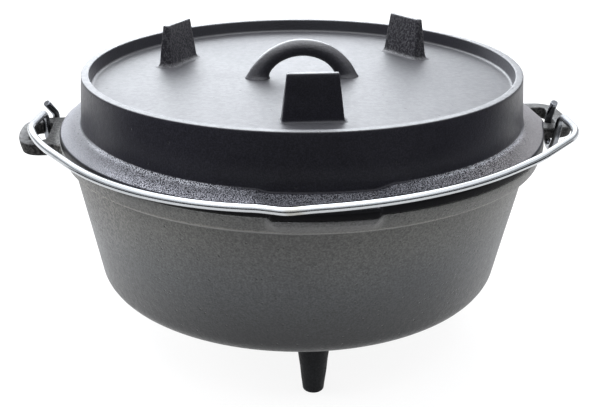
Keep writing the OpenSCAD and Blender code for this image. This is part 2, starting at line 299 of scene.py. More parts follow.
def pot_iron(name, gloss, dust, shade):
    """Dry grey iron, sand-cast: fine grain and pits. It is darker towards the bottom and on the ears,
    which is painted shade. gloss and dust are the strength of the shine and of the pale bloom seen
    edge-on, shade is how far the ears are darkened as painted shade."""
    m = Nodes(name)
    grain = m.noise(880, 3.0, 0.62)
    skin = m.noise(300, 4.0, 0.6)
    cloud = m.noise(16, 3.0, 0.55)
    near, tint = m.cells(330)
    chosen = m.ranged(m.channel(tint, 0), 0.80, 0.84, curve="LINEAR")
    pit = m.math("MULTIPLY", m.ranged(near, 0.10, 0.26, 1.0, 0.0), chosen)
    x, y, z = m.axes()
    tone = m.math("ADD", m.math("MULTIPLY", grain, 0.75), m.math("MULTIPLY", skin, 0.25))
    speck = m.ranged(tone, 0.34, 0.68)
    colour = m.mix(speck, (0.034, 0.0345, 0.034), (0.101, 0.103, 0.101))
    rough_sand = m.ranged(m.noise(600, 2.0, 0.6), 0.45, 0.56)
    side = m.ranged(m.math("MULTIPLY", x, x), 0.0095, 0.0190)
    colour = m.mix(m.math("MULTIPLY", side, 0.80), colour, m.mix(rough_sand, (0.014, 0.014, 0.0135), (0.140, 0.139, 0.132)))
    colour = m.times(colour, m.mix(m.ranged(cloud, 0.3, 0.7), (0.86, 0.86, 0.88), (1.08, 1.08, 1.06)))
    # painted shade: the wall, and below it the legs, darken towards the floor
    painted_low_shade = m.ranged(z, 0.036, 0.124)
    colour = m.times(colour, m.mix(painted_low_shade, (0.12, 0.12, 0.13), (1.0, 1.0, 1.0)))
    colour = m.times(colour, m.mix(m.ranged(z, 0.080, 0.128), (0.945, 0.995, 1.085), (1.02, 1.0, 0.970)))
    away = m.math("ADD", m.math("MULTIPLY", x, x), m.math("MULTIPLY", y, y))
    # painted shade: the ears are darkened by the shade factor
    ear = m.ranged(away, 0.0268, 0.0292)
    colour = m.times(colour, m.mix(ear, (1.0, 1.0, 1.0), (shade, shade, shade * 1.06)))
    # painted highlight: a thin light line along the lower edge of the rim band
    band_edge_highlight = m.math("MULTIPLY", m.ranged(z, 0.1330, 0.1338), m.ranged(z, 0.1343, 0.1351, 1.0, 0.0))
    colour = m.times(colour, m.mix(band_edge_highlight, (1.0, 1.0, 1.0), (1.75, 1.70, 1.60)))
    colour = m.mix(m.math("MULTIPLY", pit, 0.85), colour, (0.012, 0.012, 0.012))
    hollow, which = m.cells(165)
    scar = m.math("MULTIPLY", m.ranged(hollow, 0.07, 0.17, 1.0, 0.0), m.ranged(m.channel(which, 1), 0.90, 0.92))
    colour = m.mix(m.math("MULTIPLY", scar, 0.8), colour, (0.012, 0.012, 0.012))
    m.put(m.bsdf.inputs["Base Color"], colour)
    rough = m.ranged(skin, 0.3, 0.7, 0.46, 0.62)
    rough = m.math("SUBTRACT", rough, m.math("MULTIPLY", ear, 0.04))
    dry = m.math("MULTIPLY", m.math("MULTIPLY", m.ranged(away, 0.0310, 0.0400, 1.0, 0.0), m.ranged(x, -0.150, -0.140, 1.0, 0.0)), ear)
    rough = m.math("ADD", rough, m.math("MULTIPLY", dry, 0.36))
    m.put(m.bsdf.inputs["Roughness"], rough)
    m.bsdf.inputs["Specular IOR Level"].default_value = gloss
    m.bsdf.inputs["Sheen Weight"].default_value = dust
    m.bsdf.inputs["Sheen Roughness"].default_value = 0.45
    height = m.math("ADD", m.math("MULTIPLY", grain, 0.55), m.math("MULTIPLY", skin, 0.8))
    height = m.math("SUBTRACT", height, m.math("MULTIPLY", pit, 0.9))
    m.put(m.bsdf.inputs["Normal"], m.bump(height, 0.75, 0.00045))
    return m.mat


def lid_iron(name, coarse, pale, gloss, sand=1150, crisp=0.14):
    """Black seasoned iron: darker and glossier than the pot, with a fine sand skin that
    is coarser on the brim and smoother on the plate. coarse is the size of the grain relief,
    pale is how light the tips of the grains are rubbed, raised on the rear feet as painted light,
    gloss the strength of the shine, sand and crisp how fine and how sharp the grain is."""
    m = Nodes(name)
    grain = m.noise(sand, 2.0, 0.6)
    skin = m.noise(330, 4.0, 0.58)
    cloud = m.noise(13, 3.0, 0.5)
    near, tint = m.cells(230)
    chosen = m.ranged(m.channel(tint, 0), 0.955, 0.97, curve="LINEAR")
    pit = m.math("MULTIPLY", m.ranged(near, 0.10, 0.24, 1.0, 0.0), chosen)
    up = m.ranged(m.axes(m.facing)[2], 0.70, 0.93)
    x, y, z = m.axes()
    away = m.math("ADD", m.math("MULTIPLY", x, x), m.math("MULTIPLY", y, y))
    brim = m.math("MULTIPLY", m.ranged(z, 0.1545, 0.1580, 1.0, 0.0), up)
    plate = m.math("MULTIPLY", m.math("MULTIPLY", m.ranged(z, 0.1760, 0.1770), m.ranged(z, 0.1785, 0.1800, 1.0, 0.0)), up)
    land = m.math("MULTIPLY", m.ranged(away, 0.0196, 0.0202), m.ranged(z, 0.1850, 0.1862))
    speck = m.ranged(grain, 0.52 - crisp, 0.52 + crisp)
    colour = m.mix(speck, (0.0044, 0.0042, 0.0072), (0.0125 * pale, 0.0122 * pale, 0.0185 * (0.35 + 0.65 * pale)))
    front = m.ranged(m.math("MULTIPLY", x, x), 0.0100, 0.0200, 1.0, 0.22)
    flake = m.ranged(m.noise(1650, 2.0, 0.6), 0.46, 0.58)
    flake = m.math("ADD", m.math("MULTIPLY", flake, front), m.math("MULTIPLY", m.math("SUBTRACT", 1.0, front), 0.58))
    # painted shade: the brim's grain is darker at the front centre, below the lid's wall
    centre = m.math("MAXIMUM", m.ranged(x, -0.046, -0.034, 1.0, 0.66), m.ranged(x, 0.030, 0.080, 0.66, 1.0))
    flake = m.math("MULTIPLY", flake, centre)
    colour = m.mix(brim, colour, m.mix(flake, (0.004, 0.004, 0.006), (0.27, 0.272, 0.302)))
    # painted light: the outer brim left of centre is made paler
    glow = m.math("MULTIPLY", m.math("MULTIPLY", m.ranged(away, 0.0240, 0.0264), m.ranged(x, -0.046, -0.032, 1.0, 0.0)), brim)
    colour = m.times(colour, m.mix(glow, (1.0, 1.0, 1.0), (1.55, 1.55, 1.55)))
    # painted shade: the brim's left end is darkened
    dim = m.math("MULTIPLY", m.ranged(x, -0.142, -0.110, 1.0, 0.0), brim)
    colour = m.times(colour, m.mix(dim, (1.0, 1.0, 1.0), (0.63, 0.63, 0.625)))
    warm = m.math("MULTIPLY", m.ranged(x, 0.05, 0.12), brim)
    colour = m.times(colour, m.mix(warm, (1.0, 1.0, 1.0), (1.13, 1.08, 1.00)))
    # painted light: the plate is made paler grey, which lifts it and softens the shadows of the feet on it
    colour = m.mix(m.math("MULTIPLY", plate, 0.7), colour, (0.042, 0.042, 0.047))
    square = m.math("MULTIPLY", x, x)
    # painted highlight: pale speckle on the fillet at the foot of the wall
    root = m.math("MULTIPLY", m.ranged(m.axes(m.facing)[2], 0.20, 0.55), m.ranged(z, 0.1572, 0.1592, 1.0, 0.0))
    root = m.math("MULTIPLY", root, m.ranged(away, 0.02295, 0.02385, 1.0, 0.0))
    root = m.math("MULTIPLY", root, m.ranged(flake, 0.15, 0.85, 0.0, 1.0))
    root = m.math("MULTIPLY", root, m.math("MULTIPLY", m.ranged(square, 0.0014, 0.0049), m.ranged(square, 0.0165, 0.0210, 1.0, 0.0)))
    colour = m.mix(m.math("MULTIPLY", root, 0.85), colour, (0.50, 0.51, 0.55))
    close, hue = m.cells(560)
    dots = m.math("MULTIPLY", m.ranged(close, 0.18, 0.36, 1.0, 0.0), m.ranged(m.channel(hue, 0), 0.60, 0.66))
    dots = m.math("MULTIPLY", m.math("MULTIPLY", dots, brim), m.ranged(away, 0.0234, 0.0256, 1.0, 0.12))
    dots = m.math("MULTIPLY", dots, m.ranged(m.math("MULTIPLY", x, x), 0.0120, 0.0165, 0.10, 1.0))
    colour = m.mix(m.math("MULTIPLY", dots, 0.85), colour, (0.004, 0.004, 0.005))
    # painted shade: the brim's outer edge and the front of the pour tab are made nearly black
    edge = m.math("MULTIPLY", m.ranged(m.axes(m.facing)[2], 0.35, 0.75, 1.0, 0.0), m.ranged(z, 0.1496, 0.1508, 1.0, 0.0))
    edge = m.math("MAXIMUM", edge, m.ranged(y, -0.1662, -0.1652, 1.0, 0.0))
    colour = m.mix(edge, colour, (0.003, 0.003, 0.004))
    colour = m.times(colour, m.mix(m.ranged(cloud, 0.3, 0.7), (0.85, 0.85, 0.86), (1.1, 1.1, 1.1)))
    colour = m.mix(m.math("MULTIPLY", pit, 0.7), colour, (0.004, 0.004, 0.005))
    m.put(m.bsdf.inputs["Base Color"], colour)
    rough = m.math("ADD", m.ranged(skin, 0.3, 0.7, 0.36, 0.42), m.ranged(cloud, 0.3, 0.7, -0.02, 0.02))
    rough = m.math("ADD", rough, m.math("MULTIPLY", plate, m.ranged(x, 0.035, 0.125, 0.17, 0.26)))
    rough = m.math("ADD", rough, m.math("MULTIPLY", brim, 0.15))
    rough = m.math("ADD", rough, m.math("MULTIPLY", land, 0.10))
    m.put(m.bsdf.inputs["Roughness"], rough)
    m.bsdf.inputs["Specular IOR Level"].default_value = gloss
    height = m.math("ADD", m.math("MULTIPLY", grain, 0.55), m.math("MULTIPLY", skin, 0.60))
    height = m.math("SUBTRACT", height, m.math("MULTIPLY", pit, 1.2))
    size = m.math("ADD", m.math("MULTIPLY", m.math("MULTIPLY", brim, front), 1.9), coarse)
    size = m.math("SUBTRACT", size, m.math("MULTIPLY", plate, 0.45))
    m.put(m.bsdf.inputs["Normal"], m.bump(m.math("MULTIPLY", height, size), 0.5, 0.00035))
    return m.mat


def zinc_wire(name, dull):
    """Bright zinc-plated drawn wire, with faint lines along it and dulled patches. dull is 0 on
    the plating and 1 on a sheared end."""
    m = Nodes(name)
    k = 1.0 - 0.68 * dull
    lines = m.noise(1.0, 2.0, 0.5, m.stretched(m.uv, (14.0, 9.0, 1.0)))
    patch = m.noise(55, 3.0, 0.6)
    colour = m.mix(m.ranged(lines, 0.3, 0.7), (0.44 * k, 0.458 * k, 0.476 * k), (0.52 * k, 0.54 * k, 0.56 * k))
    colour = m.mix(m.ranged(patch, 0.58, 0.76), colour, (0.36 * k, 0.374 * k, 0.388 * k))
    x, y, z = m.axes()
    # warm dull tint at the front kink: bend marks, with a painted yellowish reflection
    off = m.math("ADD", x, 0.025)
    kink_marks_and_reflection = m.math("MULTIPLY", m.ranged(m.math("MULTIPLY", off, off), 0.00001, 0.00014, 1.0, 0.0), m.ranged(y, -0.170, -0.166, 1.0, 0.0))
    colour = m.mix(m.math("MULTIPLY", kink_marks_and_reflection, m.ranged(patch, 0.35, 0.60)), colour, (0.33 * k, 0.315 * k, 0.27 * k))
    # painted shade: the zinc is darkened by half at the bends above both hooks
    bent = m.math("MULTIPLY", m.ranged(x, 0.160, 0.172), m.ranged(y, -0.078, -0.048))
    bent = m.math("MAXIMUM", bent, m.math("MULTIPLY", m.ranged(x, -0.176, -0.164, 1.0, 0.0), m.ranged(y, -0.040, -0.012)))
    colour = m.times(colour, m.mix(bent, (1.0, 1.0, 1.0), (0.50, 0.50, 0.52)))
    m.put(m.bsdf.inputs["Base Color"], colour)
    m.bsdf.inputs["Metallic"].default_value = 1.0
    m.put(m.bsdf.inputs["Roughness"], m.ranged(patch, 0.3, 0.75, 0.13 + 0.30 * dull, 0.22 + 0.30 * dull))
    m.put(m.bsdf.inputs["Normal"], m.bump(patch, 0.05, 0.0001))
    return m.mat


POT_IRON = pot_iron("pot_cast_iron", 0.44, 0.22, 1.0)
# the ears' iron is a darker copy of the pot's iron, painted shade
EAR_IRON = pot_iron("ear_cast_iron", 0.17, 0.0, 0.34)
LEG_IRON = pot_iron("leg_cast_iron", 0.09, 0.0, 1.0)
LID_IRON = lid_iron("lid_cast_iron", 1.0, 1.0, 0.5)
LID_SIDE = lid_iron("lid_side_cast_iron", 1.0, 1.0, 0.28)
LID_BRIM = lid_iron("lid_brim_cast_iron", 1.0, 1.0, 0.07)
LID_EDGE = lid_iron("lid_edge_cast_iron", 1.0, 1.0, 0.10)
FRONT_FOOT_IRON = lid_iron("front_foot_cast_iron", 1.0, 1.0, 0.28)
# painted light: the rear feet have much paler grain tips than the other iron
FOOT_IRON = lid_iron("foot_cast_iron", 3.2, 3.6, 0.36, 680, 0.07)
LOOP_IRON = lid_iron("loop_cast_iron", 2.2, 1.1, 0.62, 800, 0.09)
ZINC, ZINC_CUT = zinc_wire("bail_zinc_plate", 0.0), zinc_wire("bail_cut_end", 1.0)


# ------------------------------------------------------------------ pot
def make_pot_shell():
    line = profile(
        [
            (0, BASE_Z, 0),
            (FOOT_R, BASE_Z, 13),
            (WALL_R, BAND_Z, 1.6),
            (RIM_R - BAND_DRAFT, EDGE_Z, 0.9),
            (RIM_R + 0.3, RIM_Z - 3, 2.4),
            (RIM_R + 0.8, RIM_Z, 0.8),
            (RIM_R - 6.4, RIM_Z, 0.9),
            (RIM_R - 7.0, RIM_Z - 2, 1.5),
            (WALL_R - WALL_IN, BAND_Z, 5),
            (FOOT_R + WALL_SLOPE * 5.2 - WALL_IN, FLOOR_TOP, 8.4),
            (0, FLOOR_TOP, 0),
        ]
    )
    angles = turn_angles()
    grid, ends, faces = turned(line, angles)
    body = line[1:-1]
    deg = np.degrees(angles)
    # outside is everything before the rim's inner edge
    split = int(np.argmax((body[:, 1] > RIM_Z - 0.01) & (body[:, 0] < RIM_R - 5.4)))
    for i, (r, z) in enumerate(body):
        if i < split and z > BAND_Z - 0.5:
            lift = float(smooth(BAND_Z - 0.5, RIM_Z - 1.5, z)) ** 1.3
            out = spout_window(deg, SPOUT_HALF - 1.2 * (1 - lift), 1.3 + 2.2 * (1 - lift)) * SPOUT_REACH * lift
        elif z > RIM_Z - 2.6 and r > 150:
            out = spout_window(deg, SPOUT_HALF - 1.5, 1.3) * (SPOUT_REACH - 1.2)
        else:
            continue
        grid[i, :, 0] += out * np.cos(angles)
        grid[i, :, 1] += out * np.sin(angles)
    # slight waviness of a sand casting on the wall
    wall = (body[:, 1] > BASE_Z + 1) & (body[:, 1] < BAND_Z - 3)
    for i in np.nonzero(wall)[0]:
        fade = float(smooth(0, 10, min(body[i, 1] - BASE_Z, BAND_Z - 3 - body[i, 1])))
        out = 0.30 * fade * ripple(grid[i], 42.0, 3)
        grid[i, :, 0] += out * np.cos(angles)
        grid[i, :, 1] += out * np.sin(angles)
    verts = np.concatenate([grid.reshape(-1, 3), ends])
    # below the band the casting stands a little to the left, as the legs do
    verts[:, 0] -= 1.5 * smooth(EDGE_Z + 1.2, BAND_Z - 1.5, verts[:, 2])
    verts[:, 0] -= (LEG_SHIFT - 1.5) * smooth(BAND_Z, BASE_Z - 20, verts[:, 2])
    return add_mesh("pot_shell", verts, faces, POT_IRON)


def contour(points, step):
    """Evenly spaced points round a closed polyline."""
    pts = np.asarray(points, float)
    nxt = np.roll(pts, -1, 0)
    out = []
    for p, q in zip(pts, nxt):
        gap = np.linalg.norm(q - p)
        n = max(1, int(round(gap / step)))
        out += [p + (q - p) * k / n for k in range(n)]
    return np.array(out)


def arc(cx, cy, r, a0, a1, n):
    return [
        (cx + r * math.cos(math.radians(a0 + (a1 - a0) * k / n)), cy + r * math.sin(math.radians(a0 + (a1 - a0) * k / n)))
        for k in range(n + 1)
    ]


def ray_hit(loop, centre, angle):
    """Furthest point where the ray from centre meets a closed loop."""
    d = np.array([math.cos(angle), math.sin(angle)])
    a, b = loop - centre, np.roll(loop, -1, 0) - centre
    ca = d[0] * a[:, 1] - d[1] * a[:, 0]
    cb = d[0] * b[:, 1] - d[1] * b[:, 0]
    hit = (ca * cb <= 0) & (np.abs(ca - cb) > 1e-12)
    t = ca[hit] / (ca[hit] - cb[hit])
    p = a[hit] + (b[hit] - a[hit]) * t[:, None]
    along = p @ d
    return centre + p[np.argmax(along)]


def inward(loop):
    """Unit normals of a counter-clockwise loop, pointing to its left (inwards)."""
    t = np.roll(loop, -1, 0) - np.roll(loop, 1, 0)
    t /= np.linalg.norm(t, axis=1)[:, None]
    return np.stack([-t[:, 1], t[:, 0]], -1)


def make_ear(name, side, node, front, back, reach, x0, xf, xb, y0, y1):
    corner, fillet, hr = 14.0, 10.0, 3.5
    slant = math.degrees(math.atan2(xb - xf, y1 - y0 - 2 * hr))

    def root(half):
        fy = half + fillet
        fx = math.sqrt((RIM_R + fillet) ** 2 - fy * fy)
        return fx, fy, math.degrees(math.atan2(fy, fx))

    inner = 158.9
    fx, fy, at = root(front)
    bx, by, bt = root(back)
    outer_pts = (
        arc(fx, -fy, fillet, 180 - at, 90, 10)
        + arc(reach - corner, -front + corner, corner, -90, 0, 12)
        + arc(reach - corner, back - corner, corner, 0, 90, 12)
        + arc(bx, by, fillet, -90, -180 + bt, 10)
        + arc(0, 0, inner, bt, -at, 14)
    )
    hole_pts = (
        arc(xf - hr, y0 + hr, hr, -90, -slant, 6)
        + arc(xb - hr, y1 - hr, hr, -slant, 90, 6)
        + arc(x0 + hr, y1 - hr, hr, 90, 180, 6)
        + arc(x0 + hr, y0 + hr, hr, 180, 270, 6)
    )
    outer, hole = contour(outer_pts, 1.6), contour(hole_pts, 1.2)
    centre = np.array([x0 / 2 + (xf + xb) / 4, (y0 + y1) / 2])
    ang = np.concatenate(
        [np.arctan2(*(loop - centre).T[::-1]) for loop in (outer, hole)]
    )
    ang = np.sort(ang)
    keep = [ang[0]]
    for a in ang[1:]:
        if a - keep[-1] > 0.008:
            keep.append(a)
    ang = np.array(keep)
    out_loop = np.array([ray_hit(outer, centre, a) for a in ang])
    hole_loop = np.array([ray_hit(hole, centre, a) for a in ang])
    n_out, n_hole = inward(out_loop), -inward(hole_loop)
    top, low = RIM_Z - 0.06, RIM_Z - 8.4
    rt, rb, rh, draft = 1.1, 1.8, 1.0, 1.2
    rows = []
    for k in range(5):
        q = math.radians(90 * k / 4)
        rows.append((out_loop + n_out * (rt * (1 - math.sin(q))), top - rt * (1 - math.cos(q))))
    rows.append((out_loop + n_out * (draft * 0.5), (top + low) / 2))
    for k in range(5):
        q = math.radians(90 * k / 4)
        rows.append((out_loop + n_out * (draft + rb * (1 - math.cos(q))), low + rb * (1 - math.sin(q))))
    a, b = out_loop + n_out * (draft + rb), hole_loop + n_hole * rh
    for f in (0.25, 0.5, 0.75):
        rows.append((a + (b - a) * f, low))
    for k in range(5):
        q = math.radians(90 * k / 4)
        rows.append((hole_loop + n_hole * (rh * (1 - math.sin(q))), low + rh * (1 - math.cos(q))))
    rows.append((hole_loop, (top + low) / 2))
    for k in range(5):
        q = math.radians(90 * k / 4)
        rows.append((hole_loop + n_hole * (rh * (1 - math.cos(q))), top - rh * (1 - math.sin(q))))
    a, b = hole_loop + n_hole * rh, out_loop + n_out * rt
    for f in (0.25, 0.5, 0.75):
        rows.append((a + (b - a) * f, top))
    n, k = len(ang), len(rows)
    verts = np.concatenate([np.column_stack([xy, np.full(n, z)]) for xy, z in rows])
    # the underside swells into the band at the root
    r = np.hypot(verts[:, 0], verts[:, 1])
    verts[:, 2] -= np.where(verts[:, 2] < EAR_MID, 2.3 * (1 - smooth(160.5, 169.0, r)), 0.0)
    # hand-fettled edges are never quite true
    wob = ripple(verts, 16.0, 7 + side)
    far = smooth(164, 172, r)
    verts[:, 0] += 0.22 * wob * far
    verts[:, 1] += 0.22 * ripple(verts, 19.0, 11 + side) * far
    if side < 0:  # the left ear's outer edge is bowed
        verts[:, 0] += 3.2 * smooth(184.5, 190.5, verts[:, 0]) * np.clip(1 - ((verts[:, 1] - 5.0) / 22.0) ** 2, 0, 1)
    faces = []
    for i in range(k):
        for j in range(n):
            p, q = i * n + j, i * n + (j + 1) % n
            u, v = ((i + 1) % k) * n + j, ((i + 1) % k) * n + (j + 1) % n
            faces.append((p, q, v, u))
    verts[:, 0] *= side
    obj = add_mesh(name, verts, faces, EAR_IRON)
    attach(obj, "pot")
    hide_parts(node)
    return obj


def make_leg(name, turn, node):
    line = profile(
        [
            (0, 0, 0),
            (6.75, 0, 1.5),
            (11.25, BASE_Z, 5.5),
            (17.0, BASE_Z, 0),
            (17.0, BASE_Z + 0.9, 0),
            (0, BASE_Z + 0.9, 0),
        ],
        step=2.5,
        arc_step=10.0,
    )
    angles = np.radians(np.arange(0, 360, 7.5))
    grid, ends, faces = turned(line, angles)
    verts = np.concatenate([grid.reshape(-1, 3), ends])
    spot = np.array([112 * math.cos(math.radians(turn)) - LEG_SHIFT, 112 * math.sin(math.radians(turn)), 0])
    push = 0.28 * ripple(verts + spot, 12.0, 5) * smooth(1.5, 7, verts[:, 2]) * (1 - smooth(30, 36, verts[:, 2]))
    flat = np.hypot(verts[:, 0], verts[:, 1]) + 1e-6
    verts[:, 0] += push * verts[:, 0] / flat
    verts[:, 1] += push * verts[:, 1] / flat
    obj = add_mesh(name, verts + spot, faces, LEG_IRON)
    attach(obj, "pot")
    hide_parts(node)
    return obj


# ------------------------------------------------------------------ lid
def make_lid_shell():
    line = profile(
        [
            (0, PLATE_TOP, 0),
            (141.8, PLATE_TOP, 2.2),
            (143.0, LID_Z, 0.9),
            (LID_R, LID_Z, 0.65),
            (LID_BASE_R, BRIM_ROOT, 2.0),
            (BRIM_R, BRIM_TOP + 0.2, 2.4),
            (BRIM_R, BRIM_BOTTOM, 0.7),
            (155.8, BRIM_BOTTOM, 0.6),
            (154.8, BRIM_BOTTOM - 6, 1.2),
            (149.8, BRIM_BOTTOM - 6, 1.2),
            (144.6, 152.1, 3),
            (141.8, PLATE_BOTTOM, 5),
            (0, PLATE_BOTTOM, 0),
        ],
        step=3.5,
    )
    angles = turn_angles()
    grid, ends, faces = turned(line, angles)
    body = line[1:-1]
    deg = np.degrees(angles)
    rim_at = int(np.argmax(body[:, 1] > LID_Z - 0.01))
    low_at = int(np.argmax((np.arange(len(body)) > rim_at) & (body[:, 1] < BRIM_BOTTOM + 0.01)))
    for i, (r, z) in enumerate(body):
        if i > rim_at and r > 151.5 and z < BRIM_ROOT + 3 and z > BRIM_BOTTOM - 0.01:
            s = float(smooth(152.5, 164.0, r))
            win = spout_window(deg, SPOUT_HALF + 3.4 * (1 - float(smooth(150.8, 161.0, r))), 0.55)
            out = win * SPOUT_REACH * s
            grid[i, :, 0] += out * np.cos(angles)
            grid[i, :, 1] += out * np.sin(angles)
            if i < low_at:
                step = float(smooth(151.5, 155.5, r)) * float(smooth(BRIM_BOTTOM, BRIM_BOTTOM + 3, z))
                grid[i, :, 2] -= win * 1.0 * step
        if rim_at < i < low_at and z < BRIM_ROOT + 14 and r < 164.0:
            # the foot of the wall runs lower at the spout and just left of it
            near = float(smooth(BRIM_ROOT + 14, BRIM_ROOT + 2, z)) * float(smooth(164.0, 152.0, r))
            off = np.abs((deg - SPOUT_TURN + 180) % 360 - 180)
            left = (deg + 360) % 360 - 245
            grid[i, :, 2] -= near * np.maximum(2.6 * (1 - smooth(11.0, 16.0, off)), 1.2 * np.exp(-((left / 24.0) ** 2)))
    for i in range(len(body)):
        r, z = body[i]
        if rim_at < i < low_at and BRIM_ROOT + 6 < z < LID_Z - 3:
            fade = float(smooth(0, 6, min(z - BRIM_ROOT - 6, LID_Z - 3 - z)))
            out = 0.22 * fade * ripple(grid[i], 46.0, 8)
            grid[i, :, 0] += out * np.cos(angles)
            grid[i, :, 1] += out * np.sin(angles)
        elif i < rim_at and r < 132:
            grid[i, :, 2] += 0.10 * float(smooth(132, 115, r)) * ripple(grid[i], 55.0, 2)
    verts = np.concatenate([grid.reshape(-1, 3), ends])
    # the brim reaches a little further out on the right, most just in front of the ear
    flat = np.hypot(verts[:, 0], verts[:, 1])
    turn = np.degrees(np.arctan2(verts[:, 1], verts[:, 0]))
    grow = np.clip(verts[:, 0] / 165.0, 0, 1) ** 2 * smooth(-15.0, -4.0, turn) + 1.7 * np.exp(-(((turn + 7.6) / 3.6) ** 2))
    verts[:, 0] += grow * smooth(154.0, 164.0, flat)
    obj = add_mesh("lid_shell", verts, faces, LID_IRON)
    for material in (LID_SIDE, LID_BRIM, LID_EDGE):
        obj.data.materials.append(material)
    for p in obj.data.polygons:
        px, py, pz = np.array(p.center) / MM
        nz = p.normal[2]
        if math.hypot(px, py) < 146.0 or pz > LID_Z - 1.2 or nz < -0.5:
            continue
        if pz > BRIM_ROOT + 1.5 or (nz < 0.55 and math.hypot(px, py) < 153.0):
            p.material_index = 1
        elif nz > 0.55 and py > -165.6:
            p.material_index = 2
        else:
            p.material_index = 3
    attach(obj, "lid")
    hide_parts("lid_plate", "lid_wall", "lid_brim")
    return obj


def rounded_rect(a, b, r, n=5):
    r = min(r, a - 0.05, b - 0.05)
    pts = []
    for cx, cy, start in ((a - r, b - r, 0), (-a + r, b - r, 90), (-a + r, -b + r, 180), (a - r, -b + r, 270)):
        pts += arc(cx, cy, r, start, start + 90, n)
    out = []
    for p, q in zip(pts, pts[1:] + pts[:1]):
        gap = math.dist(p, q)
        k = max(1, int(round(gap / 2.4)))
        out += [(p[0] + (q[0] - p[0]) * t / k, p[1] + (q[1] - p[1]) * t / k) for t in range(k)]
    return np.array(out)


def make_foot(name, turn, shift, back, node):
    height, flare, edge = 29.0, 1.7 if turn == -90 else 3.2, 0.9
    levels = [-0.8, 0.0] + [flare * (1 - math.cos(math.radians(a))) for a in (12, 24, 36, 48, 60, 75, 90)]
    levels += list(np.linspace(flare + 1.5, height - edge, 11))
    levels += [height - edge + edge * math.sin(math.radians(a)) for a in (22, 45, 67, 90)]
    rings = []
    base = rounded_rect(18.8, 5.0, 1.5)
    count = len(base)
    for z in levels:
        t = max(0.0, min(1.0, z / height))
        a, b = 18.8 - 3.5 * t, 5.0 - 2.8 * t
        grow = 0.0
        h = max(0.0, z)
        if h < flare:
            grow = flare - math.sqrt(max(0.0, flare**2 - (flare - h) ** 2))
        if z > height - edge:
            grow -= edge - math.sqrt(max(0.0, edge**2 - (z - height + edge) ** 2))
        ring = base * np.array([a / 18.8, b / 5.0])
        # grow along the outline, not by scaling
        nrm = -inward(ring)
        ring = ring + nrm * grow
        rings.append(np.column_stack([ring, np.full(count, z)]))
    top = rings[-1].copy()
    for f in (0.7, 0.35):
        rings.append(np.column_stack([top[:, 0] * (0.55 + 0.45 * f), top[:, 1] * f, top[:, 2]]))
    a = math.radians(turn)
    out_dir, side_dir = np.array([math.cos(a), math.sin(a), 0]), np.array([-math.sin(a), math.cos(a), 0])
    placed = []
    for ring in rings:
        wob = 0.16 * ripple(ring + np.array([turn, 0, 0]), 13.0, 4) * smooth(3, 8, ring[:, 2])
        p = (
            np.array([-shift, back, 0.0])
            + out_dir * (97.0 + ring[:, 1] + wob)[:, None]
            + side_dir * ring[:, 0][:, None]
            + np.array([0, 0, 1.0]) * (PLATE_TOP + ring[:, 2])[:, None]
        )
        placed.append(p)
    obj = lofted(placed, name, FRONT_FOOT_IRON if turn == -90 else FOOT_IRON)
    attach(obj, "lid")
    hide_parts(node)
    return obj


def make_loop():
    bar, outer, cz = 5.7, 41.33, 162.47
    mid = outer - bar
    rings = []
    for q in np.radians(np.linspace(20.0, 160.0, 85)):
        out_dir = np.array([math.cos(q), 0, math.sin(q)])
        c = np.array([0, 0, cz]) + mid * out_dir
        ring = []
        for k in range(28):
            w = 2 * math.pi * k / 28
            d = out_dir * math.cos(w) + np.array([0, 1.0, 0]) * math.sin(w)
            p = c + bar * d
            h = p[2] - PLATE_TOP
            inside = 0.5 - 0.5 * math.cos(w)
            swell = (0.9 + 1.1 * inside) * math.exp(-max(h, 0.0) / 1.5)
            swell += 2.6 * inside**2 * max(0.0, 1.0 - max(h, 0.0) / 15.0) ** 1.3
            lean = d.copy()
            lean[2] = 0
            p = p + lean * swell
            ring.append(p)
        rings.append(np.array(ring))
    allp = np.concatenate(rings)
    wob = 0.2 * ripple(allp, 18.0, 9) * smooth(2, 8, allp[:, 2] - PLATE_TOP)
    k = 0
    for ring in rings:
        c = ring.mean(0)
        d = ring - c
        d /= np.linalg.norm(d, axis=1)[:, None]
        ring += d * wob[k : k + len(ring)][:, None]
        k += len(ring)
    obj = lofted(rings, "lid_loop", LOOP_IRON)
    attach(obj, "lid")
    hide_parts("lid_handle")
    return obj


